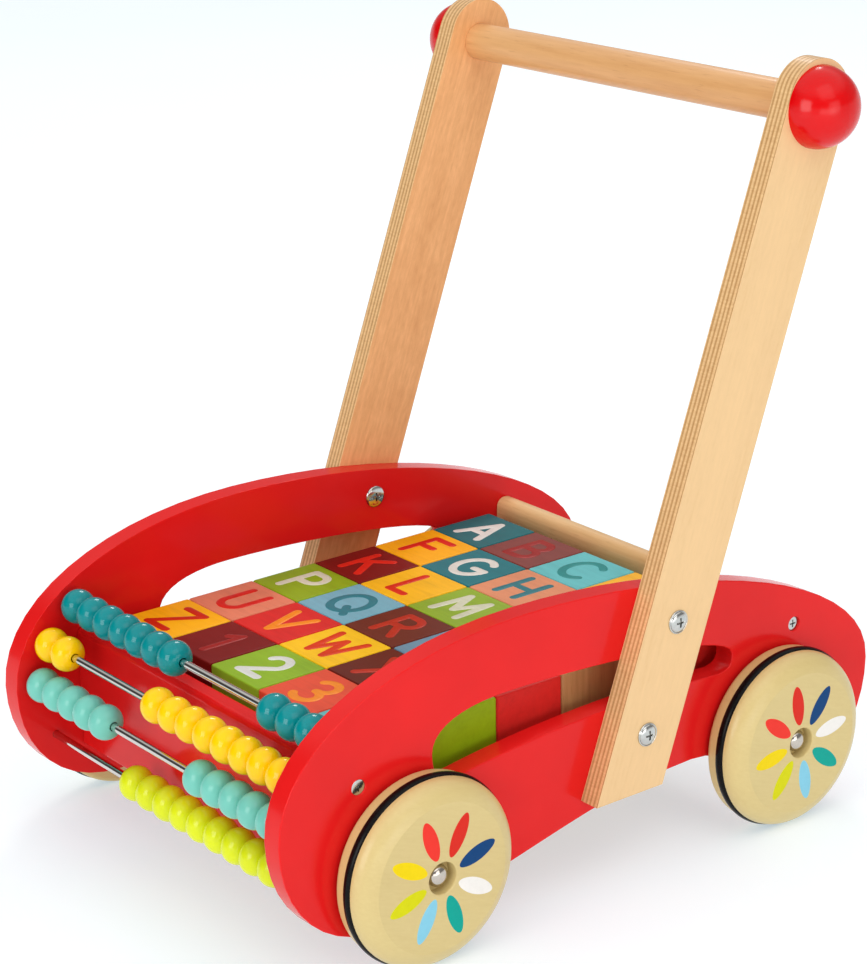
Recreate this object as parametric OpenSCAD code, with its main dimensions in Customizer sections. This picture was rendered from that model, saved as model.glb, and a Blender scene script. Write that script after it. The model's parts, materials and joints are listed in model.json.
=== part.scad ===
// Wooden push walker with an alphabet block tray and a bead abacus.
// X runs across the walker, Y from the abacus at the front to the handle at the back, Z up.
// The origin is on the floor, under the middle of the walker.

/* [Side panels] */
// Distance between the inner faces of the two side panels
inner_w = 243; // [238:1:260]
// Thickness of a side panel
panel_t = 13; // [10:0.5:15]
// Length of a side panel, front to back
panel_len = 418; // [410:1:430]
// Height of the crown of a side panel above the floor
crown_z = 169; // [165:0.5:175]
// Distance of the crown behind the front end of the panel
crown_back = 159; // [150:1:170]
// Highest point of the slot in a side panel
slot_top_z = 129; // [126:0.5:131]

/* [Boards] */
// Thickness of the front and rear boards
board_t = 13; // [10:0.5:15]
// Thickness of the tray floor
floor_t = 6; // [4:0.5:8]
// Height of the tray floor's upper face
floor_z = 71; // [68:0.5:72]
// Top of the front board
front_board_top = 114; // [108:0.5:116]
// Top of the rear board
rear_board_top = 121; // [116:0.5:126]

/* [Blocks] */
// Edge of a cube block
block = 45; // [42:0.5:45.5]
// Gap between neighbouring blocks
block_gap = 0.4; // [0.4:0.1:1]
// Rounding of the edges of the blocks' upper faces
block_edge = 1; // [0.5:0.1:1.5]

/* [Wheels] */
// Radius of a wooden wheel
wheel_r = 51.2; // [50:0.1:53]
// Width of a wooden wheel
wheel_w = 23.5; // [20:0.5:26]
// Diameter of the rubber ring's section
ring_d = 7.6; // [5:0.1:8.5]
// How far the rubber ring stands out of the wheel
ring_out = 1.3; // [0.8:0.1:1.8]
// Diameter of a steel axle
axle_d = 8; // [6:0.5:10]
// Radial running clearance of a wheel on its axle
axle_play = 0.06; // [0.02:0.01:0.1]
// Distance of the front axle in front of the middle
front_axle_back = 126; // [122:0.5:130]
// Distance of the rear axle behind the middle
rear_axle_back = 131; // [127:0.5:135]

/* [Handle] */
// Lean of the uprights from the vertical
lean = 20; // [16:0.5:22]
// Width of an upright
upright_w = 44.7; // [40:0.1:48]
// Thickness of an upright
upright_t = 13; // [10:0.5:15]
// Height of the handle bar's axis
bar_z = 410.5; // [390:0.5:420]
// Distance of the handle bar's axis behind the middle
bar_y = 143; // [138:0.5:146]
// Diameter of the handle bar
bar_d = 22; // [18:0.5:26]
// Diameter of the round knobs on the bar's ends
knob_d = 45; // [40:0.5:50]

/* [Abacus] */
// Diameter of a bead
bead_d = 20; // [18:0.5:21]
// Length of a bead along its rod
bead_len = 16.4; // [14:0.1:17]
// Diameter of a steel abacus rod
rod_d = 4.5; // [4:0.1:6]
// Beads pushed to the left on the top, second and third rods
left_beads = [7, 2, 5];
// Beads on each rod
beads_per_rod = 10; // [8:1:10]

/* [Hidden] */
panel_x = inner_w / 2;
face_x = panel_x + panel_t;
front_y = -panel_len / 2;
rear_y = panel_len / 2;
crown_y = front_y + crown_back;
axle_z = wheel_r + ring_out;
wheel_x = face_x + 1.5;
hub_x = wheel_x + wheel_w;
upright_x = face_x + upright_t;

// Tray: the blocks lie in the middle of the space between the two boards
rows = 6;
columns = 5;
pitch = block + block_gap;
tray_mid_y = -6.5;
tray_half = 148.5;
front_board_y = tray_mid_y - tray_half - board_t;
rear_board_y = tray_mid_y + tray_half;
front_board_z = 42;
rear_board_z = 58;
groove = 5;

// Abacus rods lie on a circle round the middle of the panels' round front end
end_r = 65;
rods_r = 52.5;
rods_c = [front_y + end_r, 85];
rod_angles = [59, 30, 4, -38];
rod_yz = [for (a = rod_angles) rods_c + rods_r * [-cos(a), sin(a)]];
rod_depth = 8;
bead_play = 0.6;
bead_pitch = bead_len + 0.1;

// Fasteners
bolt_d = 6;
bolt_head_d = 13.4;
sleeve_d = 8;
screw_d = 4;
screw_head_d = 8.4;
bolt_zs = [84.5, 144];
screw_front = [-159.3, 104];
screw_rear = [rear_board_y + board_t / 2, 112];

// Hub of a wheel
recess_r = 8.7;
recess_depth = 7;
cap_r = 6.2;
ring_w = 10.2;

// Height of the upright's axis line at a given distance along Y, and the reverse
function lean_y(z) = bar_y - (bar_z - z) * tan(lean);

// Points of a cubic curve from p0 to p3, without its last point
function curve(p0, p1, p2, p3, n = 10) = [for (i = [0:n - 1]) let (t = i / n, s = 1 - t)
    s * s * s * p0 + 3 * s * s * t * p1 + 3 * s * t * t * p2 + t * t * t * p3];

// Points of an elliptical arc round c
function arc(c, rx, ry, a0, a1, n = 8) = [for (i = [0:n]) let (a = a0 + (a1 - a0) * i / n)
    c + [rx * cos(a), ry * sin(a)]];

// Outline of a side panel in Y and Z: round front end, long falling back, hollow belly
module panel_outline() {
    front = [front_y, 85];
    crown = [crown_y, crown_z];
    back = [rear_y, 76];
    heel = [rear_y - 54, 15];
    belly = [70, 51.5];
    toe = [front_y + 65, 19];
    polygon(concat(
        curve(front, front + [0, 50], crown - [92, 0], crown, 14),
        curve(crown, crown + [122, 0], back + [0, 54], back, 18),
        curve(back, back - [0, 36], heel + [30, 0], heel),
        curve(heel, heel - [44, 0], belly + [40, 0], belly),
        curve(belly, belly - [80, 0], toe + [66, 0], toe, 12),
        curve(toe, toe - [38, 0], front - [0, 38], front)));
}

// Outline of the long slot through a side panel
module slot_outline() {
    front = [-112, 108];
    top = [-62, slot_top_z];
    back = [100, 107];
    foot = [90, 97.5];
    heel = [-98, 91];
    polygon(concat(
        curve(front, front + [0, 14], top - [30, 0], top),
        curve(top, top + [60, 0], back + [-1, 14], back, 14),
        curve(back, back + [1, -7], foot + [7, 0.5], foot, 6),
        curve(foot, foot + [-60, 4], heel + [60, 9], heel, 12),
        curve(heel, heel - [10, 1.5], front - [0, 11], front, 7)));
}

// Turns a flat Y and Z outline into a plate that starts at x
module plate(x, thickness) {
    translate([x, 0, 0]) rotate([90, 0, 90]) linear_extrude(thickness) children();
}

// A straight round bar or bore along X
module rod_x(x, y, z, length, d) {
    translate([x, y, z]) rotate([0, 90, 0]) cylinder(h = length, d = d, $fn = 48);
}

// side is 1 for the right hand side and -1 for the left
module side_panel(side) {
    start = side > 0 ? panel_x : -face_x;
    color("#e02020") difference() {
        plate(start, panel_t) difference() {
            panel_outline();
            slot_outline();
        }
        for (y = [-front_axle_back, rear_axle_back])
            rod_x(start - 1, y, axle_z, panel_t + 2, axle_d);
        for (z = bolt_zs)
            rod_x(start - 1, lean_y(z), z, panel_t + 2, sleeve_d);
        for (p = rod_yz)
            rod_x(side > 0 ? panel_x - 1 : -panel_x - rod_depth, p[0], p[1], rod_depth + 1, rod_d);
        for (p = [screw_front, screw_rear]) {
            rod_x(start - 1, p[0], p[1], panel_t + 2, screw_d);
            rod_x(side > 0 ? face_x - 3.5 : -face_x - 1, p[0], p[1], 4.5, screw_head_d);
        }
    }
}

// A board across the walker with softened upper edges and a groove for the tray floor
module board(y, z0, z1, soft, groove_y, screw) {
    difference() {
        rotate([90, 0, 90]) translate([0, 0, -panel_x]) linear_extrude(inner_w) polygon(concat(
            [[y, z0]],
            arc([y + soft, z1 - soft], soft, soft, 180, 90),
            arc([y + board_t - soft, z1 - soft], soft, soft, 90, 0),
            [[y + board_t, z0]]));
        translate([-panel_x - 1, groove_y, floor_z - floor_t]) cube([inner_w + 2, groove, floor_t]);
        for (side = [-1, 1])
            rod_x(side > 0 ? panel_x - 20 : -panel_x - 1, screw[0], screw[1], 21, screw_d);
    }
}

module front_board() {
    groove_y = front_board_y + board_t - groove;
    color("#d81c1c") board(front_board_y, front_board_z, front_board_top, 4, groove_y, screw_front);
}

module rear_board() {
    color("#d9b183") board(rear_board_y, rear_board_z, rear_board_top, 6, rear_board_y, screw_rear);
}

module tray_floor() {
    color("#d9b98c") translate([-panel_x, front_board_y + board_t - groove, floor_z - floor_t])
        cube([inner_w, 2 * tray_half + 2 * groove, floor_t]);
}

// Outline of an upright: round head just above the bar's axis, foot cut level with the panel's belly
module upright_outline() {
    foot_z = 51.5;
    head = 3.5;
    difference() {
        translate([bar_y, bar_z]) rotate(-lean) {
            translate([0, head]) circle(d = upright_w, $fn = 96);
            translate([-upright_w / 2, -bar_z]) square([upright_w, bar_z + head]);
        }
        translate([-200, foot_z - 200]) square([400, 200]);
    }
}

module upright(side) {
    start = side > 0 ? face_x : -upright_x;
    color("#e8c391") difference() {
        plate(start, upright_t) upright_outline();
        rod_x(start - 1, bar_y, bar_z, upright_t + 2, bar_d);
        for (z = bolt_zs)
            rod_x(start - 1, lean_y(z), z, upright_t + 2, bolt_d);
    }
}

module handle_bar() {
    reach = upright_x + 10;
    color("#d9a86c") rod_x(-reach, bar_y, bar_z, 2 * reach, bar_d);
}

// Balls with a flat face against the uprights, each with a blind hole for the bar
module handle_knobs() {
    sink = 0.3;
    color("#d61a1a") for (side = [-1, 1]) difference() {
        translate([side * (upright_x - sink), bar_y, bar_z]) sphere(d = knob_d, $fn = 96);
        translate([side > 0 ? upright_x - 40 : -upright_x, bar_y - 40, bar_z - 40]) cube([40, 80, 80]);
        rod_x(side > 0 ? upright_x - 1 : -upright_x - 10, bar_y, bar_z, 11, bar_d);
    }
}

module axles() {
    reach = hub_x - recess_depth + 4;
    color("silver") for (y = [-front_axle_back, rear_axle_back])
        rod_x(-reach, y, axle_z, 2 * reach, axle_d);
}

// Domed caps on the ends of the axles, inside the hub recesses
module axle_caps() {
    height = 5.6;
    color("silver") for (y = [-front_axle_back, rear_axle_back], side = [-1, 1])
        translate([side * (hub_x - recess_depth + 0.4), y, axle_z]) rotate([0, side * 90, 0])
            rotate_extrude($fn = 48) polygon(concat(
                [[axle_d / 2, 0], [cap_r, 0]],
                arc([0, 1.6], cap_r, height - 1.6, 0, 90),
                [[0, 3.6], [axle_d / 2, 3.6]]));
}

// Half section of a wheel: radius and distance from the inner face.
// The round shoulder meets the flat face at a crease.
module wheel_section() {
    inner_round = 3;
    shoulder_x = 17.8;
    shoulder_y = 11.4;
    shoulder_end = 65;
    shoulder_w = wheel_w - shoulder_y * sin(shoulder_end);
    bore_r = axle_d / 2 + axle_play;
    difference() {
        polygon(concat(
            [[bore_r, 0]],
            arc([wheel_r - inner_round, inner_round], inner_round, inner_round, -90, 0),
            arc([wheel_r - shoulder_x, shoulder_w], shoulder_x, shoulder_y, 0, shoulder_end, 12),
            [[recess_r, wheel_w], [recess_r, wheel_w - recess_depth], [bore_r, wheel_w - recess_depth]]));
        translate([axle_z - ring_d / 2, ring_w]) circle(d = ring_d, $fn = 32);
    }
}

// Puts what follows on one axle end: front is -1 or 1 for the rear, side is -1 or 1 for the right
module at_hub(front, side) {
    translate([side * wheel_x, front < 0 ? -front_axle_back : rear_axle_back, axle_z])
        rotate([0, side * 90, 0]) children();
}

module wheel(front, side) {
    color("#e8d08c") at_hub(front, side) rotate_extrude($fn = 128) wheel_section();
}

module ring(front, side) {
    color("#151515") at_hub(front, side) translate([0, 0, ring_w])
        rotate_extrude($fn = 128) translate([axle_z - ring_d / 2, 0]) circle(d = ring_d - 0.02, $fn = 32);
}

module abacus_rods() {
    reach = panel_x + rod_depth;
    color("silver") for (p = rod_yz) rod_x(-reach, p[0], p[1], 2 * reach, rod_d);
}

// One bead, a slightly flattened ball with a hole, that starts at x
module bead(x, p) {
    hole_r = rod_d / 2 + 0.4;
    round_r = 8.4;
    translate([x + bead_len / 2, p[0], p[1]]) rotate([0, 90, 0]) rotate_extrude($fn = 64) intersection() {
        translate([bead_d / 2 - round_r, 0]) circle(r = round_r, $fn = 64);
        translate([hole_r, -bead_len / 2]) square([bead_d, bead_len]);
    }
}

module beads_left(row) {
    for (i = [0:left_beads[row] - 1])
        bead(-panel_x + bead_play + i * bead_pitch, rod_yz[row]);
}

module beads_right(row) {
    count = beads_per_rod - (row < 3 ? left_beads[row] : 0);
    for (i = [1:count])
        bead(panel_x - bead_play - i * bead_pitch + 0.1, rod_yz[row]);
}

// Low round-headed bolts through the uprights
module upright_bolts() {
    head_h = 2.6;
    color("silver") for (side = [-1, 1], z = bolt_zs)
        translate([side * upright_x, lean_y(z), z]) rotate([0, side * 90, 0]) difference() {
            union() {
                translate([0, 0, -upright_t - 10]) cylinder(h = upright_t + 10, d = bolt_d, $fn = 32);
                rotate_extrude($fn = 48) polygon(concat(
                    [[0, 0], [bolt_head_d / 2, 0]], arc([0, 0.6], bolt_head_d / 2, head_h - 0.6, 0, 90)));
            }
            for (turn = [0, 90]) rotate(turn) translate([-3.2, -0.7, head_h - 1.8]) cube([6.4, 1.4, 2.2]);
        }
}

// Sleeve nuts with low round heads on the inner faces of the side panels
module sleeve_nuts() {
    head_h = 2;
    color("silver") for (side = [-1, 1], z = bolt_zs)
        translate([side * panel_x, lean_y(z), z]) rotate([0, side * 90, 0]) difference() {
            union() {
                cylinder(h = panel_t - 0.5, d = sleeve_d, $fn = 32);
                mirror([0, 0, 1]) rotate_extrude($fn = 48) polygon(concat(
                    [[0, 0], [bolt_head_d / 2, 0]], arc([0, 0.6], bolt_head_d / 2, head_h - 0.6, 0, 90)));
            }
            translate([0, 0, 2]) cylinder(h = panel_t, d = bolt_d, $fn = 32);
            for (turn = [0, 90]) rotate(turn) translate([-3.2, -0.7, -head_h - 1]) cube([6.4, 1.4, 2.2]);
        }
}

// One wood screw, whose head lies in its counterbore
module board_screw(side, p, sink) {
    head_h = 2.4;
    shank = panel_t + 17 - sink;
    face = face_x - sink;
    translate([side * face, p[0], p[1]]) rotate([0, side * 90, 0]) difference() {
        union() {
            translate([0, 0, -head_h]) cylinder(h = head_h, d = screw_head_d - 0.1, $fn = 32);
            translate([0, 0, -shank]) cylinder(h = shank - head_h, d = screw_d, $fn = 24);
        }
        for (turn = [0, 90]) rotate(turn) translate([-2.6, -0.6, -1.4]) cube([5.2, 1.2, 2]);
    }
}

// The front screws' heads are almost flush, the rear ones lie deeper
module board_screws() {
    color("silver") for (side = [-1, 1]) {
        board_screw(side, screw_front, 0.3);
        board_screw(side, screw_rear, 1.1);
    }
}

// A cube block in a column from the left and a row from the back, with softened upper edges
module letter_block(column, row, tint) {
    x = (column - (columns - 1) / 2) * pitch;
    y = tray_mid_y + ((rows - 1) / 2 - row) * pitch;
    half = block / 2;
    color(tint) translate([x, y, floor_z]) intersection() {
        translate([-half, -half, 0]) cube(block);
        rotate([90, 0, 0]) translate([0, 0, -half]) linear_extrude(block) block_face();
        rotate([90, 0, 90]) translate([0, 0, -half]) linear_extrude(block) block_face();
    }
}

module block_face() {
    half = block / 2;
    e = block_edge;
    polygon(concat(
        arc([-half + e, e], e, e, 270, 180, 3), arc([-half + e, block - e], e, e, 180, 90, 3),
        arc([half - e, block - e], e, e, 90, 0, 3), arc([half - e, e], e, e, 0, -90, 3)));
}

side_panel(-1);  // left_side_panel
side_panel(1);  // right_side_panel
front_board();
rear_board();
tray_floor();
upright(-1);  // left_upright
upright(1);  // right_upright
handle_bar();
handle_knobs();
axles();
axle_caps();
wheel(-1, -1);  // front_left_wheel
wheel(-1, 1);  // front_right_wheel
wheel(1, -1);  // rear_left_wheel
wheel(1, 1);  // rear_right_wheel
ring(-1, -1);  // front_left_ring
ring(-1, 1);  // front_right_ring
ring(1, -1);  // rear_left_ring
ring(1, 1);  // rear_right_ring
abacus_rods();
color("#0e9a94") beads_left(0);  // top_beads_left
color("#0e9a94") beads_right(0);  // top_beads_right
color("#ffc400") beads_left(1);  // second_beads_left
color("#ffc400") beads_right(1);  // second_beads_right
color("#7fd0bd") beads_left(2);  // third_beads_left
color("#7fd0bd") beads_right(2);  // third_beads_right
color("#dbe52b") beads_right(3);  // bottom_beads
upright_bolts();
sleeve_nuts();
board_screws();
letter_block(0, 0, "#2f6f80");  // block_a
letter_block(1, 0, "#7a2a26");  // block_b
letter_block(2, 0, "#7cc4cf");  // block_c
letter_block(3, 0, "#f5b820");  // block_d
letter_block(4, 0, "#d02424");  // block_e
letter_block(0, 1, "#f5a81c");  // block_f
letter_block(1, 1, "#2f7f8a");  // block_g
letter_block(2, 1, "#e08a66");  // block_h
letter_block(3, 1, "#8fb02c");  // block_i
letter_block(4, 1, "#2f6f80");  // block_j
letter_block(0, 2, "#8a1f1c");  // block_k
letter_block(1, 2, "#f5b820");  // block_l
letter_block(2, 2, "#8fb02c");  // block_m
letter_block(3, 2, "#f5b820");  // block_n
letter_block(4, 2, "#b98a5a");  // block_o
letter_block(0, 3, "#8fb02c");  // block_p
letter_block(1, 3, "#7fb4c4");  // block_q
letter_block(2, 3, "#7a3224");  // block_r
letter_block(3, 3, "#6f93a8");  // block_s
letter_block(4, 3, "#d02424");  // block_t
letter_block(0, 4, "#e08a66");  // block_u
letter_block(1, 4, "#d8302c");  // block_v
letter_block(2, 4, "#f5c01e");  // block_w
letter_block(3, 4, "#6a2a1e");  // block_x
letter_block(4, 4, "#8fb02c");  // block_y
letter_block(0, 5, "#f8ae1c");  // block_z
letter_block(1, 5, "#7a1c18");  // block_1
letter_block(2, 5, "#8fb02c");  // block_2
letter_block(3, 5, "#e0523c");  // block_3
letter_block(4, 5, "#7cc4cf");  // block_4
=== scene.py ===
"""Looks of the wooden push walker: lacquer, plywood, turned wheels, painted blocks, beads and steel."""
import json
import math

import bmesh
import bpy
from mathutils import Matrix, Vector


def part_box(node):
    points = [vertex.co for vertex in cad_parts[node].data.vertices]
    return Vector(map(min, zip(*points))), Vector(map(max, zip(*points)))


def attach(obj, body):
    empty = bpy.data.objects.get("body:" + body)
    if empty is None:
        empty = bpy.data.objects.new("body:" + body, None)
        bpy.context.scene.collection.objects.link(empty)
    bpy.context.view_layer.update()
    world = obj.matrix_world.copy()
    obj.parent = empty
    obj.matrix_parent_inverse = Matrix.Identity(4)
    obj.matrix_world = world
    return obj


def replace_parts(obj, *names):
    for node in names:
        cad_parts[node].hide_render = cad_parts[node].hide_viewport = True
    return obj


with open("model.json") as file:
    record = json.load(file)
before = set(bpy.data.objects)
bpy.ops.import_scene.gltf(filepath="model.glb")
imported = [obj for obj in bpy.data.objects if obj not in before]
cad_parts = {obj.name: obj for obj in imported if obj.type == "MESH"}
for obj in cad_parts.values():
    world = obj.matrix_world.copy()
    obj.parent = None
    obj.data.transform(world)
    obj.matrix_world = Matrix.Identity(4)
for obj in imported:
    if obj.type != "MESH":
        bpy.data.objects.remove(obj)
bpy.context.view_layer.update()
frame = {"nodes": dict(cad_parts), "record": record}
NODES = frame["nodes"]
BODY_OF = {n: b for b, ns in frame["record"]["behaviour"]["bodies"].items() for n in ns}
SLOT_OF = {s["node"]: s["material_slot"] for s in frame["record"]["subparts"]}
MM = 0.001
# Lengths are in millimetres, unless they are multiplied by MM.
# Heads of bolts and sleeve nuts: their radius and their two heights
BOLT_R, BOLT_CROWN, NUT_CROWN = 6.7, 2.55, 1.95
SCREW_R, SCREW_STEP = 4.15, 0.8  # a board screw's head, and how much nearer the middle the rear ones sit
CAP_R = 6.2  # of the axle caps
HUB_BORE, RECESS_R, RECESS_DEPTH = 4.06, 8.7, 7  # a wheel's bore and the recess around it
BACK_ROUND = 3  # rounding of a wheel's back edge
# A wheel's elliptical outer shoulder: half axes towards and along the axle, and the angle where it ends
SHOULDER_IN, SHOULDER_ALONG, SHOULDER_END = 17.8, 11.4, 65
# A petal: distance of its ends from the axle, half width, how much the ends are narrowed, thickness at the
# middle, and how deep its rim lies in the wheel's face
PETAL_INNER, PETAL_OUTER, PETAL_HALF, PETAL_PINCH = 10.7 * MM, 36.4 * MM, 4.7 * MM, 0.12
PETAL_THICK, PETAL_SUNK = 0.12, 0.02
# Angle of a front wheel's first petal and from petal to petal in degrees, and a rear wheel's turn in radians
FIRST_PETAL, PETAL_STEP, REAR_TURN = 62.8, 45, 0.62
LETTER_HEIGHT, STROKE_HALF, STROKE_RISE = 27 * MM, 2.65 * MM, 0.2 * MM
PLIES, LEAN = 9, math.radians(20)  # of the uprights
# Points of a CAD mesh closer than WELD metres are joined, and faces that meet flatter than FLAT
WELD, FLAT = 0.000005, math.radians(0.6)
# Edge angles in degrees below which letters and petals, turned hardware and wheels are shaded smooth
PAINT_SMOOTH, TURNED_SMOOTH, WHEEL_SMOOTH = 60, 34, 16


# ---------------------------------------------------------------- materials

def srgb(text):
    """Linear colour with alpha from a six-digit hex colour."""
    parts = [int(text[i:i + 2], 16) / 255 for i in (0, 2, 4)]
    linear = [c / 12.92 if c <= 0.04045 else ((c + 0.055) / 1.055) ** 2.4 for c in parts]
    return (*linear, 1.0)


class Nodes:
    """A small helper that builds one material's node tree."""

    def __init__(self, name):
        self.mat = bpy.data.materials.new(name)
        self.mat.use_nodes = True
        self.tree = self.mat.node_tree
        self.shader = self.tree.nodes["Principled BSDF"]
        self.place = self.add("ShaderNodeTexCoord").outputs["Object"]

    def add(self, kind, **values):
        """A new node, with values for its properties or else for its inputs."""
        node = self.tree.nodes.new(kind)
        for key, value in values.items():
            if hasattr(node, key):
                setattr(node, key, value)
            else:
                node.inputs[key.replace("_", " ")].default_value = value
        return node

    def link(self, a, b):
        self.tree.links.new(a, b)

    def set(self, **values):
        for key, value in values.items():
            self.shader.inputs[key.replace("_", " ")].default_value = value

    def stretched(self, scale, turn=(0, 0, 0)):
        """Object coordinates, turned and then scaled, for grain that runs one way."""
        spin = self.add("ShaderNodeMapping", vector_type="POINT")
        spin.inputs["Rotation"].default_value = turn
        self.link(self.place, spin.inputs["Vector"])
        size = self.add("ShaderNodeMapping", vector_type="POINT")
        size.inputs["Scale"].default_value = scale
        self.link(spin.outputs["Vector"], size.inputs["Vector"])
        return size.outputs["Vector"]

    def noise(self, vector, scale, detail=4.0, rough=0.55, warp=0.0):
        node = self.add("ShaderNodeTexNoise", Scale=scale, Detail=detail, Roughness=rough, Distortion=warp)
        self.link(vector, node.inputs["Vector"])
        return node.outputs["Fac"]

    def ramp(self, value, stops):
        node = self.add("ShaderNodeValToRGB")
        bar = node.color_ramp
        while len(bar.elements) < len(stops):
            bar.elements.new(0.5)
        for element, (at, colour) in zip(bar.elements, stops):
            element.position = at
            element.color = colour
        self.link(value, node.inputs["Fac"])
        return node.outputs["Color"]

    def math(self, kind, a, b=None):
        node = self.add("ShaderNodeMath", operation=kind)
        for socket, value in zip(node.inputs, (a, b)):
            if value is None:
                continue
            if isinstance(value, (int, float)):
                socket.default_value = value
            else:
                self.link(value, socket)
        return node.outputs[0]

    def mix(self, factor, a, b, kind="MIX"):
        node = self.add("ShaderNodeMix", data_type="RGBA", blend_type=kind)
        for socket, value in ((node.inputs[0], factor), (node.inputs[6], a), (node.inputs[7], b)):
            if isinstance(value, (int, float, tuple)):
                socket.default_value = value
            else:
                self.link(value, socket)
        return node.outputs[2]

    def grey(self, value, low, high):
        """Maps 0..1 to low..high."""
        node = self.add("ShaderNodeMapRange", To_Min=low, To_Max=high)
        self.link(value, node.inputs["Value"])
        return node.outputs["Result"]

    def colour(self, value):
        self.link(value, self.shader.inputs["Base Color"])

    def rough(self, value):
        self.link(value, self.shader.inputs["Roughness"])

    def bump(self, value, depth):
        node = self.add("ShaderNodeBump", Strength=1.0, Distance=depth)
        self.link(value, node.inputs["Height"])
        self.link(node.outputs["Normal"], self.shader.inputs["Normal"])


def shade(colour, factor):
    """The colour made darker or lighter by a factor."""
    return (*[min(1.0, c * factor) for c in colour[:3]], 1.0)


def lacquer(name, colour, gloss=0.16, level=0.18):
    """Sprayed glossy paint: faint flow marks, an uneven gloss and a slight change of tone."""
    m = Nodes(name)
    cloud = m.noise(m.place, 14.0, 3.0)
    m.colour(m.ramp(cloud, [(0.3, shade(colour, 0.93)), (0.7, shade(colour, 1.05))]))
    m.rough(m.grey(m.noise(m.place, 55.0, 5.0), gloss * 0.75, gloss * 1.3))
    m.bump(m.noise(m.place, 230.0, 2.0), 0.00001)
    m.set(Specular_IOR_Level=level)
    return m.mat


def wood(name, light, dark, along, gloss=0.42, contrast=1.0):
    """Planed, lacquered wood with its grain along one axis: broad figure, fine streaks and short pores."""
    m = Nodes(name)
    squeeze = tuple(0.06 if i == along else 1.0 for i in range(3))
    pore_squeeze = tuple(0.09 if i == along else 1.0 for i in range(3))
    grain = m.stretched(squeeze)
    broad = m.noise(grain, 31.5, 3.0, 0.5, 0.6)
    fine = m.noise(grain, 360.0, 5.0, 0.65)
    spread = 0.2 / contrast
    tone = m.math("ADD", m.math("MULTIPLY", broad, 0.6), m.math("MULTIPLY", fine, 0.4))
    base = m.ramp(tone, [(0.5 - spread, dark), (0.5, between(light, dark)), (0.5 + spread, light)])
    pores = m.noise(m.stretched(pore_squeeze), 900.0, 2.0, 0.5)
    dots = m.ramp(pores, [(0.28, (0.74, 0.66, 0.58, 1)), (0.38, (1, 1, 1, 1))])
    m.colour(m.mix(0.4, base, dots, "MULTIPLY"))
    m.rough(m.grey(fine, gloss * 0.8, gloss * 1.2))
    m.bump(m.math("ADD", fine, m.math("MULTIPLY", pores, 0.6)), 0.00005)
    m.set(Coat_Weight=0.12, Coat_Roughness=0.12, Specular_IOR_Level=0.3)
    return m.mat


def between(a, b):
    """The colour half way between two."""
    return (*[(p + q) / 2 for p, q in zip(a[:3], b[:3])], 1.0)


def plywood(name, face_x, plies, light, dark, inner, lean):
    """Birch plywood: veneer figure on the faces and parallel plies of alternating tone on every edge."""
    m = Nodes(name)
    grain = m.stretched((1.0, 1.0, 0.045), turn=(lean, 0, 0))
    broad = m.noise(grain, 24.0, 3.0, 0.5, 0.7)
    fine = m.noise(grain, 420.0, 5.0, 0.65)
    fleck = m.noise(m.stretched((1.0, 1.0, 0.3), turn=(lean, 0, 0)), 380.0, 4.0, 0.7)
    mottle = m.noise(m.stretched((1.0, 1.0, 0.6), turn=(lean, 0, 0)), 34.0, 4.0, 0.6)
    tone = m.math("ADD", m.math("MULTIPLY", broad, 0.35), m.math("MULTIPLY", fine, 0.25))
    tone = m.math("ADD", tone, m.math("MULTIPLY", fleck, 0.25))
    tone = m.math("ADD", tone, m.math("MULTIPLY", mottle, 0.15))
    face = m.ramp(tone, [(0.36, between(light, dark)), (0.5, light), (0.64, shade(light, 1.06))])
    # plies, counted across the sheet from one face
    split = m.add("ShaderNodeSeparateXYZ")
    m.link(m.place, split.inputs[0])
    wobble = m.math("MULTIPLY", m.math("SUBTRACT", m.noise(m.stretched((1, 1, 0.3)), 60.0, 2.0), 0.5), 0.0006)
    depth = m.math("SUBTRACT", m.math("ABSOLUTE", m.math("ADD", split.outputs["X"], wobble)), face_x[0])
    count = m.math("MULTIPLY", depth, plies / (face_x[1] - face_x[0]))
    wave = m.math("PINGPONG", count, 1.0)
    end_grain = m.noise(m.stretched((0.2, 1, 1)), 900.0, 3.0, 0.7)
    ply = m.ramp(wave, [(0.46, shade(light, 1.08)), (0.62, shade(dark, 0.86))])
    ply = m.mix(0.35, ply, m.ramp(end_grain, [(0.3, shade(dark, 0.75)), (0.7, (1, 1, 1, 1))]), "MULTIPLY")
    normal = m.add("ShaderNodeSeparateXYZ")
    m.link(m.add("ShaderNodeTexCoord").outputs["Normal"], normal.inputs[0])
    flat = m.math("ABSOLUTE", normal.outputs["X"])
    on_edge = m.math("LESS_THAN", flat, 0.8)
    # the faces towards the middle carry a redder, darker veneer
    outward = m.math("MULTIPLY", normal.outputs["X"], m.math("SIGN", split.outputs["X"]))
    faces_in = m.math("LESS_THAN", outward, 0.0)
    face = m.mix(faces_in, face, m.ramp(tone, [(0.38, inner[1]), (0.5, between(*inner)), (0.6, inner[0])]))
    m.colour(m.mix(on_edge, face, ply))
    m.rough(m.grey(fine, 0.36, 0.5))
    m.bump(m.math("ADD", fine, m.math("MULTIPLY", m.math("MULTIPLY", wave, on_edge), 1.5)), 0.00006)
    m.set(Coat_Weight=0.06, Coat_Roughness=0.14, Specular_IOR_Level=0.3)
    return m.mat


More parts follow.
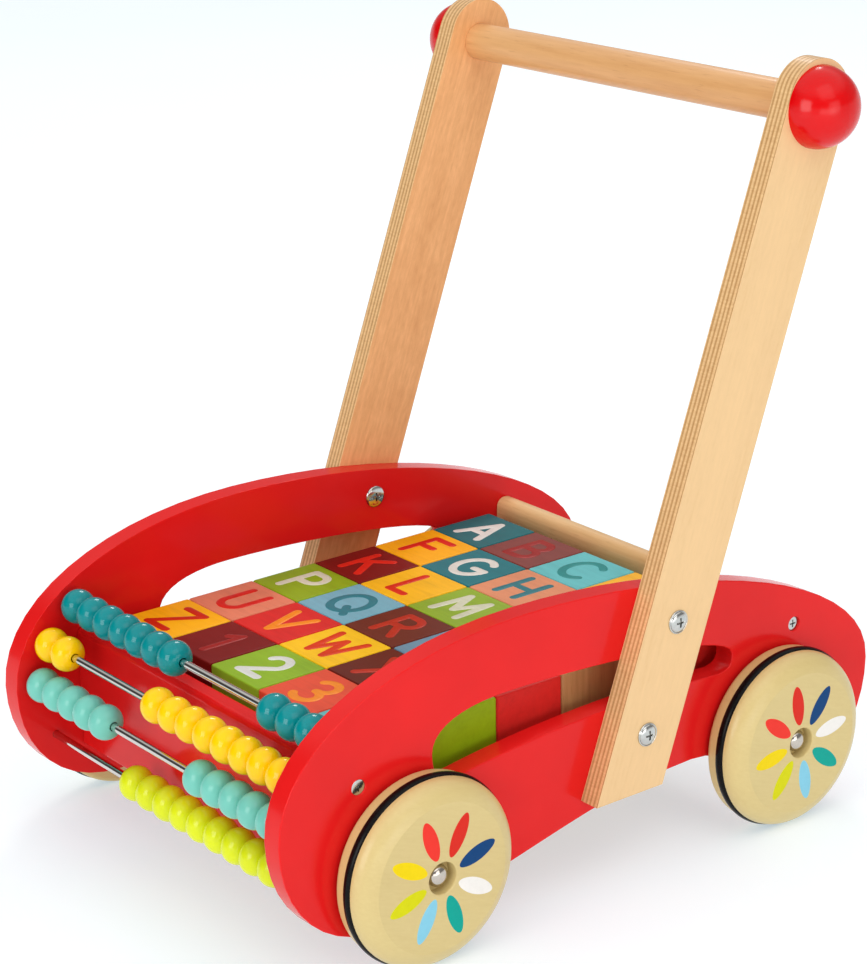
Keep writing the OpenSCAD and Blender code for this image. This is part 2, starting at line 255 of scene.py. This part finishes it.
def turned_wood(name, light, dark):
    """Wheel wood cut across the plank: straight figure over the disc, under a thin glossy lacquer."""
    m = Nodes(name)
    grain = m.stretched((1.0, 0.10, 1.0), turn=(0.35, 0, 0))
    broad = m.noise(grain, 30.0, 3.0, 0.5, 0.4)
    fine = m.noise(grain, 620.0, 4.0, 0.65)
    fleck = m.noise(m.stretched((1.0, 0.3, 1.0), turn=(0.35, 0, 0)), 800.0, 3.0, 0.6)
    tone = m.math("ADD", m.math("MULTIPLY", broad, 0.35), m.math("MULTIPLY", fine, 0.4))
    tone = m.math("ADD", tone, m.math("MULTIPLY", fleck, 0.25))
    m.colour(m.ramp(tone, [(0.2, dark), (0.8, light)]))
    m.rough(m.grey(fine, 0.28, 0.4))
    m.bump(fine, 0.00003)
    m.set(Coat_Weight=0.2, Coat_Roughness=0.12, Specular_IOR_Level=0.3)
    return m.mat


def paint(name, colour, gloss=0.36, brush=0.00004, vary=1.0):
    """Satin paint over wood: the grain telegraphs faintly through the colour."""
    m = Nodes(name)
    grain = m.stretched((0.12, 1.0, 1.0))
    fibre = m.noise(grain, 260.0, 5.0, 0.65)
    cloud = m.noise(m.place, 35.0, 2.0)
    tone = m.math("ADD", m.math("MULTIPLY", fibre, 0.65), m.math("MULTIPLY", cloud, 0.35))
    low, high = shade(colour, 1 - 0.14 * vary), shade(colour, 1 + 0.1 * vary)
    m.colour(m.ramp(tone, [(0.3, low), (0.5, colour), (0.72, high)]))
    m.rough(m.grey(fibre, gloss * 0.8, gloss * 1.25))
    m.bump(fibre, brush)
    m.set(Specular_IOR_Level=0.09)
    return m.mat


def steel(name, colour, gloss, along=None):
    """Bright zinc-plated or drawn steel with fine marks."""
    m = Nodes(name)
    squeeze = (1, 1, 1) if along is None else tuple(0.02 if i == along else 1.0 for i in range(3))
    marks = m.noise(m.stretched(squeeze), 700.0, 4.0, 0.7)
    m.colour(m.ramp(marks, [(0.3, shade(colour, 0.86)), (0.7, colour)]))
    m.rough(m.grey(marks, gloss * 0.7, gloss * 1.5))
    m.bump(marks, 0.00001)
    m.set(Metallic=1.0)
    return m.mat


def rubber(name):
    """Black rubber with a fine skin."""
    m = Nodes(name)
    skin = m.noise(m.place, 900.0, 3.0)
    m.colour(m.ramp(skin, [(0.3, (0.002, 0.002, 0.002, 1)), (0.7, (0.007, 0.006, 0.006, 1))]))
    m.rough(m.grey(skin, 0.16, 0.24))
    m.bump(skin, 0.00003)
    m.set(Specular_IOR_Level=0.1)
    return m.mat


RED = srgb("e01b1b")
BIRCH = (srgb("e6bf8b"), srgb("d7a86e"))
VENEER = (srgb("f6b87d"), srgb("da985c"))
BEECH = (srgb("efbb82"), srgb("cf955c"))
PINE = (srgb("e6bf8a"), srgb("c59559"))
WHEEL = (srgb("d7c285"), srgb("cab175"))

MATERIALS = {
    "red_lacquer": lacquer("red_lacquer", RED),
    "knob_red": lacquer("knob_red", srgb("d60004"), gloss=0.18, level=0.3),
    "natural_board": wood("natural_board", *PINE, along=0),
    "dowel": wood("dowel", *BEECH, along=0, contrast=0.9),
    "wheel_wood": turned_wood("wheel_wood", *WHEEL),
    "steel": steel("steel", (0.60, 0.60, 0.58, 1), 0.13),
    "rod_steel": steel("rod_steel", (0.70, 0.67, 0.63, 1), 0.09, along=0),
    "chrome": steel("chrome", (0.60, 0.54, 0.48, 1), 0.06),
    "rubber": rubber("rubber"),
    "bead_teal": lacquer("bead_teal", srgb("00868a"), 0.12, level=0.3),
    "bead_yellow": lacquer("bead_yellow", srgb("ffc800"), 0.12, level=0.3),
    "bead_aqua": lacquer("bead_aqua", srgb("74c4b4"), 0.12, level=0.3),
    "bead_lime": lacquer("bead_lime", srgb("dce41a"), 0.12, level=0.3),
}

# Ground and letter colour of every block, in tray order: back row first, from the left
BLOCKS = {
    "a": ("1e6a70", "dad6d0"), "b": ("83403a", "9c2420"), "c": ("66bdc0", "2c8a88"),
    "d": ("f7b62a", "d8301c"), "e": ("d62a25", "f2a02a"), "f": ("f9ae18", "d6281a"),
    "g": ("20747c", "dad6ce"), "h": ("dd8f68", "33767e"), "i": ("96b02c", "f2c22e"),
    "j": ("1e6a70", "dad6d0"), "k": ("7d1c18", "d82a1c"), "l": ("f8b91e", "d8301a"),
    "m": ("8eac2e", "cfcfb4"), "n": ("f6b51e", "d8301c"), "o": ("c79a63", "7a3b22"),
    "p": ("8eaa20", "d6d4bc"), "q": ("78b0c1", "2a7c88"), "r": ("6c2d20", "b9301f"),
    "s": ("6c90a6", "dedad6"), "t": ("d82c27", "f2a02a"), "u": ("df8264", "d6281e"),
    "v": ("d62a25", "f28a1c"), "w": ("f8c21a", "d83a14"), "x": ("642217", "b9301f"),
    "y": ("93b414", "cfcfb4"), "z": ("fbb214", "cc2a12"), "1": ("791612", "9c2420"),
    "2": ("8cb22a", "d8dad2"), "3": ("e15238", "f28c28"), "4": ("66bdc0", "2c8a88"),
}
# Petal colours, in turn around a wheel
PETALS = ["d42a1e", "0e4074", "ebe6e0", "0a9f90", "84c6dc", "d2cf0c", "ecce08", "e8362c"]


# ---------------------------------------------------------------- meshes

def face_outwards(mesh):
    """Turns the faces of a closed mesh outwards."""
    bm = bmesh.new()
    bm.from_mesh(mesh)
    bmesh.ops.recalc_face_normals(bm, faces=bm.faces)
    bm.to_mesh(mesh)
    bm.free()


def piece(name, verts, faces, material, body, smooth_angle=40):
    """A mesh object that rides on a body and takes its finish from a material slot."""
    mesh = bpy.data.meshes.new(name)
    mesh.from_pydata(verts, [], faces)
    mesh.validate()
    face_outwards(mesh)
    for polygon in mesh.polygons:
        polygon.use_smooth = True
    mesh.set_sharp_from_angle(angle=math.radians(smooth_angle))
    ob = bpy.data.objects.new(name, mesh)
    bpy.context.scene.collection.objects.link(ob)
    mesh.materials.append(material)
    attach(ob, body)
    return ob


def softened(node, width, segments=3):
    """A copy of a CAD node with its hard edges rounded, shown in place of the node."""
    bm = bmesh.new()
    bm.from_mesh(NODES[node].data)
    bmesh.ops.remove_doubles(bm, verts=bm.verts, dist=WELD)
    bmesh.ops.dissolve_limit(bm, angle_limit=FLAT, verts=bm.verts, edges=bm.edges)
    bm.verts.ensure_lookup_table()
    bm.verts.index_update()
    verts = [tuple(v.co) for v in bm.verts]
    faces = [[v.index for v in f.verts] for f in bm.faces]
    bm.free()
    material = MATERIALS[SLOT_OF[node]]
    ob = piece(node + "_finished", verts, faces, material, BODY_OF[node])
    bevel = ob.modifiers.new("round", "BEVEL")
    bevel.width = width
    bevel.segments = segments
    bevel.limit_method = "ANGLE"
    bevel.angle_limit = math.radians(35)
    bevel.harden_normals = True
    bevel.use_clamp_overlap = True
    weigh = ob.modifiers.new("weigh", "WEIGHTED_NORMAL")
    weigh.keep_sharp = True
    apply_modifiers(ob)
    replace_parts(ob, node)


def apply_modifiers(ob):
    """Makes an object's evaluated shape its mesh."""
    graph = bpy.context.evaluated_depsgraph_get()
    mesh = bpy.data.meshes.new_from_object(ob.evaluated_get(graph), depsgraph=graph)
    ob.modifiers.clear()
    ob.data = mesh


def sweep(points, half_width, rise, sides=12, cap=4):
    """Verts and faces of a flat-topped painted stroke with round ends, along points in the XY plane."""
    centre = [Vector(p) for p in points]
    count = len(centre)
    ways = [(centre[min(i + 1, count - 1)] - centre[max(i - 1, 0)]).normalized() for i in range(count)]
    rings = []
    for i in range(cap):
        turn = math.pi / 2 * i / cap
        rings.append((centre[0] - ways[0] * half_width * math.cos(turn), ways[0], math.sin(turn)))
    rings += [(c, w, 1.0) for c, w in zip(centre, ways)]
    for i in range(cap - 1, -1, -1):
        turn = math.pi / 2 * i / cap
        rings.append((centre[-1] + ways[-1] * half_width * math.cos(turn), ways[-1], math.sin(turn)))
    verts, faces = [], []
    for at, way, size in rings:
        across = Vector((-way.y, way.x))
        size = max(size, 0.02)
        for k in range(sides):
            a = 2 * math.pi * k / sides
            up = math.copysign(abs(math.sin(a)) ** 0.45, math.sin(a)) * rise * size ** 0.4
            spot = at + across * (math.cos(a) * half_width * size)
            verts.append((spot.x, spot.y, up))
    for r in range(len(rings) - 1):
        for k in range(sides):
            a, b = r * sides + k, r * sides + (k + 1) % sides
            faces.append((a, b, b + sides, a + sides))
    faces.append(tuple(range(sides)))
    faces.append(tuple(range(len(verts) - sides, len(verts))))
    return verts, faces


def arc(cx, cy, rx, ry, start, end, count=14):
    """Points along part of an ellipse, from one angle to another in degrees."""
    turns = [math.radians(start + (end - start) * i / count) for i in range(count + 1)]
    return [(cx + rx * math.cos(t), cy + ry * math.sin(t)) for t in turns]


BOWL = [(-0.28, 0.5)] + arc(0.03, 0.24, 0.26, 0.26, 90, -90) + [(-0.28, -0.02)]
RING = arc(0, 0, 0.4, 0.5, 90, 450, 28)
GLYPHS = {
    "a": [[(-0.36, -0.5), (0, 0.5), (0.36, -0.5)], [(-0.22, -0.16), (0.22, -0.16)]],
    "b": [[(-0.28, -0.5), (-0.28, 0.5)],
          [(-0.28, 0.5)] + arc(0.0, 0.26, 0.24, 0.24, 90, -90) + [(-0.28, 0.02)],
          arc(0.04, -0.24, 0.26, 0.26, 90, -90) + [(-0.28, -0.5)]],
    "c": [arc(0.04, 0, 0.4, 0.5, 48, 312, 20)],
    "d": [[(-0.28, -0.5), (-0.28, 0.5)],
          [(-0.28, 0.5)] + arc(-0.04, 0, 0.38, 0.5, 90, -90, 18) + [(-0.28, -0.5)]],
    "e": [[(0.28, 0.5), (-0.26, 0.5), (-0.26, -0.5), (0.28, -0.5)], [(-0.26, 0), (0.2, 0)]],
    "f": [[(0.3, 0.5), (-0.26, 0.5), (-0.26, -0.5)], [(-0.26, 0.02), (0.2, 0.02)]],
    "g": [arc(0, 0, 0.4, 0.5, 48, 356, 22), [(0.4, -0.04), (0.08, -0.04)]],
    "h": [[(-0.3, 0.5), (-0.3, -0.5)], [(0.3, 0.5), (0.3, -0.5)], [(-0.3, 0), (0.3, 0)]],
    "i": [[(0, 0.5), (0, -0.5)]],
    "j": [[(0.2, 0.5), (0.2, -0.22)] + arc(-0.05, -0.22, 0.25, 0.28, -10, -170)],
    "k": [[(-0.28, 0.5), (-0.28, -0.5)], [(0.3, 0.5), (-0.26, -0.02)], [(-0.06, 0.14), (0.32, -0.5)]],
    "l": [[(-0.22, 0.5), (-0.22, -0.5), (0.28, -0.5)]],
    "m": [[(-0.4, -0.5), (-0.32, 0.5), (0, -0.24), (0.32, 0.5), (0.4, -0.5)]],
    "n": [[(-0.3, -0.5), (-0.3, 0.5), (0.3, -0.5), (0.3, 0.5)]],
    "o": [RING],
    "p": [[(-0.28, -0.5), (-0.28, 0.5)], BOWL],
    "q": [RING, [(0.1, -0.2), (0.38, -0.52)]],
    "r": [[(-0.28, -0.5), (-0.28, 0.5)], BOWL, [(0.0, -0.02), (0.32, -0.5)]],
    "s": [arc(0, 0.25, 0.28, 0.25, 35, 270) + arc(0, -0.25, 0.3, 0.25, 84, -145)],
    "t": [[(-0.36, 0.5), (0.36, 0.5)], [(0, 0.5), (0, -0.5)]],
    "u": [[(-0.3, 0.5), (-0.3, -0.18)] + arc(0, -0.2, 0.3, 0.3, 174, 366) + [(0.3, 0.5)]],
    "v": [[(-0.34, 0.5), (0, -0.5), (0.34, 0.5)]],
    "w": [[(-0.44, 0.5), (-0.24, -0.5), (0, 0.3), (0.24, -0.5), (0.44, 0.5)]],
    "x": [[(-0.32, 0.5), (0.32, -0.5)], [(0.32, 0.5), (-0.32, -0.5)]],
    "y": [[(-0.34, 0.5), (0, 0.02), (0.34, 0.5)], [(0, 0.02), (0, -0.5)]],
    "z": [[(-0.32, 0.5), (0.32, 0.5), (-0.34, -0.5), (0.34, -0.5)]],
    "1": [[(-0.16, 0.3), (0.08, 0.5), (0.08, -0.5)]],
    "2": [arc(0, 0.2, 0.28, 0.3, 160, -32) + [(-0.3, -0.5)], [(-0.3, -0.5), (0.32, -0.5)]],
    "3": [arc(-0.02, 0.25, 0.27, 0.25, 150, -90), arc(-0.02, -0.25, 0.3, 0.25, 90, -150)],
    "4": [[(0.12, -0.5), (0.12, 0.5), (-0.34, -0.18), (0.34, -0.18)]],
}


def smooth_runs(stroke, corner=math.radians(38)):
    """Splits a stroke at its sharp corners, so that each run gets round ends of its own."""
    runs, run = [], [stroke[0]]
    for i in range(1, len(stroke)):
        run.append(stroke[i])
        if i < len(stroke) - 1:
            a, b = Vector(stroke[i]) - Vector(stroke[i - 1]), Vector(stroke[i + 1]) - Vector(stroke[i])
            if a.length > 0 and b.length > 0 and a.angle(b) > corner:
                runs.append(run)
                run = [stroke[i]]
    runs.append(run)
    return runs


def letter(mark):
    """The painted letter or figure on the upper face of its block."""
    node = "block_" + mark
    low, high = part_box(node)
    middle = ((low.x + high.x) / 2, (low.y + high.y) / 2, high.z)
    verts, faces = [], []
    for stroke in GLYPHS[mark]:
        for run in smooth_runs(stroke):
            v, f = sweep([(x * LETTER_HEIGHT, y * LETTER_HEIGHT) for x, y in run], STROKE_HALF, STROKE_RISE)
            faces += [tuple(i + len(verts) for i in face) for face in f]
            verts += v
    verts = [tuple(p + m for p, m in zip(v, middle)) for v in verts]
    material = paint("letter_" + mark, srgb(BLOCKS[mark][1]), gloss=0.32, brush=0.00002)
    piece("letter_" + mark, verts, faces, material, BODY_OF[node], PAINT_SMOOTH)


def petal(node, index, material, side):
    """One painted petal on a wheel's outer face."""
    low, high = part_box(node)
    hub = Vector((high.x if side > 0 else low.x, (low.y + high.y) / 2, (low.z + high.z) / 2))
    turn = math.radians(FIRST_PETAL - PETAL_STEP * index) + (REAR_TURN if "rear" in node else 0.0)
    middle, reach = (PETAL_INNER + PETAL_OUTER) / 2, (PETAL_OUTER - PETAL_INNER) / 2
    rows, count = 4, 40
    verts = [(0.0, 0.0, PETAL_THICK)]
    for row in range(1, rows + 1):
        size = row / rows
        for k in range(count):
            a = 2 * math.pi * k / count
            half = PETAL_HALF * (1 - PETAL_PINCH * math.cos(a) ** 2)
            lift = PETAL_THICK * (1 - size ** 6) - PETAL_SUNK
            verts.append((math.cos(a) * reach * size, math.sin(a) * half * size, lift))
    faces = [(0, 1 + k, 1 + (k + 1) % count) for k in range(count)]
    for row in range(rows - 1):
        for k in range(count):
            a, b = 1 + row * count + k, 1 + row * count + (k + 1) % count
            faces.append((a, a + count, b + count, b))
    placed = []
    for along, across, lift in verts:
        y = math.cos(turn) * (middle + along) - math.sin(turn) * across
        z = math.sin(turn) * (middle + along) + math.cos(turn) * across
        placed.append((hub.x + side * lift * MM, hub.y + y, hub.z + z))
    piece(f"{node}_petal_{index}", placed, faces, material, BODY_OF[node], PAINT_SMOOTH)


def turned(name, section, at, side, node, count=64, smooth_angle=TURNED_SMOOTH):
    """A solid turned about an axis along X. The section runs from axis to axis or closes on itself."""
    verts, faces, rings = [], [], []
    for along, radius in section:
        spot = (at[0] + side * along * MM, at[1], at[2])
        if radius < 1e-6:
            rings.append([len(verts)])
            verts.append(spot)
            continue
        rings.append(range(len(verts), len(verts) + count))
        for k in range(count):
            a = 2 * math.pi * k / count
            verts.append((spot[0], spot[1] + math.cos(a) * radius * MM, spot[2] + math.sin(a) * radius * MM))
    closed = section[0][1] > 1e-6
    for i in range(len(rings) - (0 if closed else 1)):
        a, b = rings[i], rings[(i + 1) % len(rings)]
        for k in range(count):
            j = (k + 1) % count
            if len(a) == 1:
                faces.append((a[0], b[k], b[j]))
            elif len(b) == 1:
                faces.append((a[k], b[0], a[j]))
            else:
                faces.append((a[k], b[k], b[j], a[j]))
    slot = SLOT_OF[node]
    return piece(name, verts, faces, MATERIALS[slot], BODY_OF[node], smooth_angle)


def cross_recess(ob, at, side, reach, width, depth):
    """Cuts a tapered cross into the head of a bolt or screw whose crown is at the given place."""
    above, taper = 1.5, 0.55
    verts, faces = [], []
    for turn in (0, 1):
        base = len(verts)
        for x, shrink in ((above, 1.0), (-depth, taper)):
            for u, v in ((-1, -1), (1, -1), (1, 1), (-1, 1)):
                a, b = u * reach * shrink, v * width / 2 * (0.5 + shrink / 2)
                y, z = (b, a) if turn else (a, b)
                verts.append((at[0] + side * x * MM, at[1] + y * MM, at[2] + z * MM))
        faces += [tuple(base + i for i in f) for f in
                  ((0, 1, 2, 3), (7, 6, 5, 4), (0, 4, 5, 1), (1, 5, 6, 2), (2, 6, 7, 3), (3, 7, 4, 0))]
    mesh = bpy.data.meshes.new("cutter")
    mesh.from_pydata(verts, [], faces)
    face_outwards(mesh)
    cutter = bpy.data.objects.new("cutter", mesh)
    bpy.context.scene.collection.objects.link(cutter)
    cut = ob.modifiers.new("cross", "BOOLEAN")
    cut.object = cutter
    cut.operation = "DIFFERENCE"
    cut.solver = "EXACT"
    cut.use_self = True
    apply_modifiers(ob)
    bpy.data.objects.remove(cutter)
    ob.data.set_sharp_from_angle(angle=math.radians(TURNED_SMOOTH))


def hardware():
    """Bolts, sleeve nuts, screws and axle caps with true round heads."""
    low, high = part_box("upright_bolts")
    r = BOLT_R
    places = [(low.y + r * MM, low.z + r * MM), (high.y - r * MM, high.z - r * MM)]
    nut_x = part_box("left_side_panel")[1].x
    bolt_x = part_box("right_upright")[1].x
    screw_low, screw_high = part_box("board_screws")
    screws = [(screw_high.x, screw_low.y + SCREW_R * MM, screw_low.z + SCREW_R * MM),
              (screw_high.x - SCREW_STEP * MM, screw_high.y - SCREW_R * MM, screw_high.z - SCREW_R * MM)]
    cap_low, cap_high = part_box("axle_caps")
    for side, hand in ((-1, "left"), (1, "right")):
        for i, (y, z) in enumerate(places):
            # shank, flat underside, rounded rim and low dome
            head = [(-16, 0), (-16, 2.95), (0.02, 2.95), (0.02, r), (0.5, r)]
            head += arc(0.5, r - 0.5, 0.45, 0.5, 90, 0, 4)
            head += arc(0.7, 0, BOLT_CROWN - 0.7, r - 0.9, 90, 0, 10)[:-1] + [(BOLT_CROWN, 0)]
            bolt = turned(f"upright_bolt_{hand}_{i}", head, (side * bolt_x, y, z), side, "upright_bolts")
            cross_recess(bolt, (side * (bolt_x + BOLT_CROWN * MM), y, z), side, 3.6, 1.3, 1.9)
            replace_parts(bolt, "upright_bolts")
            head = [(-12, 0), (-12, 3.9), (0.02, 3.9), (0.02, r), (0.5, r)]
            head += arc(0.5, 0, NUT_CROWN - 0.5, r, 90, 0, 10)[1:-1] + [(NUT_CROWN, 0)]
            nut = turned(f"sleeve_nut_{hand}_{i}", head, (side * -nut_x, y, z), -side, "sleeve_nuts")
            cross_recess(nut, (side * (-nut_x - NUT_CROWN * MM), y, z), -side, 3.4, 1.3, 1.5)
            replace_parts(nut, "sleeve_nuts")
        for i, (x, y, z) in enumerate(screws):
            # point, shank and a countersunk head with a flat top
            head = [(-30, 0), (-27, 1.9), (-3.2, 1.9), (-2.3, 2.6), (-0.6, SCREW_R - 0.1), (-0.25, SCREW_R)]
            head += arc(-0.25, 0, 0.25, SCREW_R, 90, 0, 6)[1:-1] + [(0, 0)]
            screw = turned(f"board_screw_{hand}_{i}", head, (side * x, y, z), side, "board_screws", count=48)
            cross_recess(screw, (side * x, y, z), side, 2.9, 1.0, 1.6)
            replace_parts(screw, "board_screws")
        for name, y in (("front", cap_low.y + CAP_R * MM), ("rear", cap_high.y - CAP_R * MM)):
            # flat back on the axle's end, straight rim and dome
            dome = [(-5.5, 0), (-5.5, 3.9), (-5.6, 4.0), (-5.6, CAP_R - 0.3), (-5.3, CAP_R)]
            dome += arc(-4.0, 0, 4.0, CAP_R, 90, 0, 14)[:-1] + [(0, 0)]
            at = (side * cap_high.x, y, cap_high.z - CAP_R * MM)
            cap = turned(f"axle_cap_{name}_{hand}", dome, at, side, "axle_caps")
            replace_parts(cap, "axle_caps")


def wheel(node, side):
    """A turned wheel: rounded back, ring groove, broad shoulder, a flat face and an eased hub recess."""
    low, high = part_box(node)
    radius, width = (high.z - low.z) / 2 / MM, (high.x - low.x) / MM
    back = low.x if side > 0 else high.x
    at = (back, (low.y + high.y) / 2, (low.z + high.z) / 2)
    ring_low, ring_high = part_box(node.replace("wheel", "ring"))
    section = (ring_high.x - ring_low.x) / 2 / MM
    ring_x = abs((ring_high.x + ring_low.x) / 2 - back) / MM
    ring_r = (ring_high.z - ring_low.z) / 2 / MM - section
    lip = math.degrees(math.acos((radius - ring_r) / section))
    # the round groove, from its back lip to its front lip
    steps = 24
    groove = [(ring_x - section * math.sin(math.radians(t)), ring_r + section * math.cos(math.radians(t)))
              for t in [lip + (360 - 2 * lip) * i / steps for i in range(steps + 1)]]
    reach = width - SHOULDER_ALONG * math.sin(math.radians(SHOULDER_END))
    shoulder = [(reach + SHOULDER_ALONG * math.sin(math.radians(t)),
                 radius - SHOULDER_IN + SHOULDER_IN * math.cos(math.radians(t)))
                for t in range(0, SHOULDER_END + 1, 5)]
    outline = [(0, HUB_BORE)] + arc(BACK_ROUND, radius - BACK_ROUND, BACK_ROUND, BACK_ROUND, 180, 90, 8)
    outline += groove + shoulder
    eased_lip = ((0, 1.2), (0.05, 0.7), (0.2, 0.35), (0.5, 0.1), (0.9, 0))
    outline += [(width - depth, RECESS_R + out) for depth, out in eased_lip]
    outline += [(width - RECESS_DEPTH, RECESS_R), (width - RECESS_DEPTH, HUB_BORE)]
    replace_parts(turned(node + "_turned", outline, at, side, node, 144, WHEEL_SMOOTH), node)


# ---------------------------------------------------------------- finish every node

def plywood_for(node):
    """Plywood with its plies counted between the two faces of an upright."""
    low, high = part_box(node)
    near, far = sorted((abs(low.x), abs(high.x)))
    return plywood("plywood_" + node, (near, far), PLIES, *BIRCH, VENEER, LEAN)


for mark, (ground, _) in BLOCKS.items():
    slot = "block_" + mark
    if mark == "o":  # the one block of bare wood
        MATERIALS[slot] = wood("block_wood", srgb(ground), srgb("95683a"), along=2, gloss=0.5)
    else:
        MATERIALS[slot] = paint(slot, srgb(ground))

MATERIALS["plywood"] = plywood_for("left_upright")

for name, ob in NODES.items():
    material = MATERIALS[SLOT_OF[name]]
    if name == "abacus_rods":
        material = MATERIALS["rod_steel"]
    ob.data.materials.clear()
    ob.data.materials.append(material)

# edge roundings in millimetres
for name, width in (("left_side_panel", 2.2), ("right_side_panel", 2.2), ("front_board", 1.5),
                    ("rear_board", 1.2), ("left_upright", 1.6), ("right_upright", 1.6), ("tray_floor", 0.6)):
    softened(name, width * MM)
for mark in BLOCKS:
    softened("block_" + mark, 0.9 * MM, 2)
    letter(mark)
petal_paints = [paint(f"petal_{i}", srgb(colour), gloss=0.3, brush=0.00002, vary=0.35)
                for i, colour in enumerate(PETALS)]
for name in NODES:
    if name.endswith("_wheel"):
        side = 1 if "right" in name else -1
        wheel(name, side)
        for i, material in enumerate(petal_paints):
            petal(name, i, material, side)
hardware()


# ---------------------------------------------------------------- floor, light and camera

def floor():
    """A plain pale floor, kept light in the walker's shadow."""
    bm = bmesh.new()
    bmesh.ops.create_grid(bm, x_segments=1, y_segments=1, size=6)
    mesh = bpy.data.meshes.new("floor")
    bm.to_mesh(mesh)
    bm.free()
    ob = bpy.data.objects.new("floor", mesh)
    bpy.context.scene.collection.objects.link(ob)
    m = Nodes("floor")
    m.colour(m.ramp(m.noise(m.place, 3.0), [(0.3, (0.62, 0.595, 0.575, 1)), (0.7, (0.64, 0.615, 0.595, 1))]))
    m.set(Roughness=0.6, Specular_IOR_Level=0.1, Emission_Strength=0.47)
    m.shader.inputs["Emission Color"].default_value = (0.81, 1, 1.11, 1)
    mesh.materials.append(m.mat)


def softbox(name, at, target, size, power):
    """A rectangle of soft light that faces its target and isn't seen by the camera."""
    light = bpy.data.lights.new(name, "AREA")
    light.shape = "RECTANGLE"
    light.size, light.size_y = size
    light.energy = power
    ob = bpy.data.objects.new(name, light)
    ob.location = at
    ob.rotation_mode = "QUATERNION"
    ob.rotation_quaternion = (Vector(target) - Vector(at)).to_track_quat("-Z", "Y")
    ob.visible_camera = False
    bpy.context.scene.collection.objects.link(ob)


def sky(strength):
    """Pale low walls, grey high walls, a bright ceiling and a greyer patch to the front left, for steel."""
    world = bpy.data.worlds.new("studio")
    world.use_nodes = True
    tree = world.node_tree
    way = tree.nodes.new("ShaderNodeTexCoord").outputs["Generated"]
    split = tree.nodes.new("ShaderNodeSeparateXYZ")
    tree.links.new(way, split.inputs[0])
    height = tree.nodes.new("ShaderNodeValToRGB")
    bar = height.color_ramp
    bar.elements.new(0.5)
    bar.elements.new(0.5)
    for element, (at, grey) in zip(bar.elements, ((0.06, 1.0), (0.14, 0.3), (0.5, 0.35), (0.72, 1.15))):
        element.position = at
        element.color = (grey, grey, grey, 1)
    tree.links.new(split.outputs["Z"], height.inputs["Fac"])
    turn = tree.nodes.new("ShaderNodeVectorMath")
    turn.operation = "DOT_PRODUCT"
    turn.inputs[1].default_value = Vector((-0.78, -0.59, 0.2)).normalized()
    tree.links.new(way, turn.inputs[0])
    wall = tree.nodes.new("ShaderNodeValToRGB")
    wall.color_ramp.elements[0].position = 0.86
    wall.color_ramp.elements[1].position = 0.94
    wall.color_ramp.elements[0].color = (1, 1, 1, 1)
    wall.color_ramp.elements[1].color = (0.22, 0.22, 0.22, 1)
    tree.links.new(turn.outputs["Value"], wall.inputs["Fac"])
    both = tree.nodes.new("ShaderNodeMix")
    both.data_type, both.blend_type = "RGBA", "MULTIPLY"
    both.inputs[0].default_value = 1.0
    tree.links.new(height.outputs["Color"], both.inputs[6])
    tree.links.new(wall.outputs["Color"], both.inputs[7])
    tree.links.new(both.outputs[2], tree.nodes["Background"].inputs[0])
    tree.nodes["Background"].inputs[1].default_value = strength
    bpy.context.scene.world = world


def camera(azimuth, elevation, roll, distance, target, lens, shift):
    """The camera, from angles in degrees around a target and a lens in millimetres."""
    a, e, r = (math.radians(v) for v in (azimuth, elevation, roll))
    back = Vector((math.sin(a) * math.cos(e), -math.cos(a) * math.cos(e), math.sin(e)))
    right = Vector((math.cos(a), math.sin(a), 0))
    up = back.cross(right)
    right, up = right * math.cos(r) + up * math.sin(r), up * math.cos(r) - right * math.sin(r)
    data = bpy.data.cameras.new("camera")
    data.lens, data.sensor_width = lens, 36
    data.shift_x, data.shift_y = shift
    ob = bpy.data.objects.new("camera", data)
    facing = Matrix((right, up, back)).transposed().to_4x4()
    ob.matrix_world = Matrix.Translation(Vector(target) + back * distance) @ facing
    bpy.context.scene.collection.objects.link(ob)
    bpy.context.scene.camera = ob


floor()
sky(0.9)
softbox("key", (2.353, 0.116, 0.641), (0, 0, 0.15), (1.1, 1.1), 6.5)
softbox("fill", (0.506, -2.004, 0.796), (0, 0, 0.15), (1.1, 1.1), 16)
softbox("card", (1.9, -0.55, 0.30), (0, 0, 0.1), (1.4, 0.5), 3.6)
softbox("high", (1.4, -0.3, 1.9), (-0.1, 0, 0.1), (1.4, 1.4), 5.5)
softbox("back", (-1.6, 1.6, 2.2), (0, 0, 0.15), (0.7, 0.7), 16)
bpy.context.scene.view_settings.view_transform = "Standard"
camera(52.95, 17.55, -1.22, 1.5445, (-0.0375, -0.0069, 0.2259), 101.6, (0.0485, -0.0673))
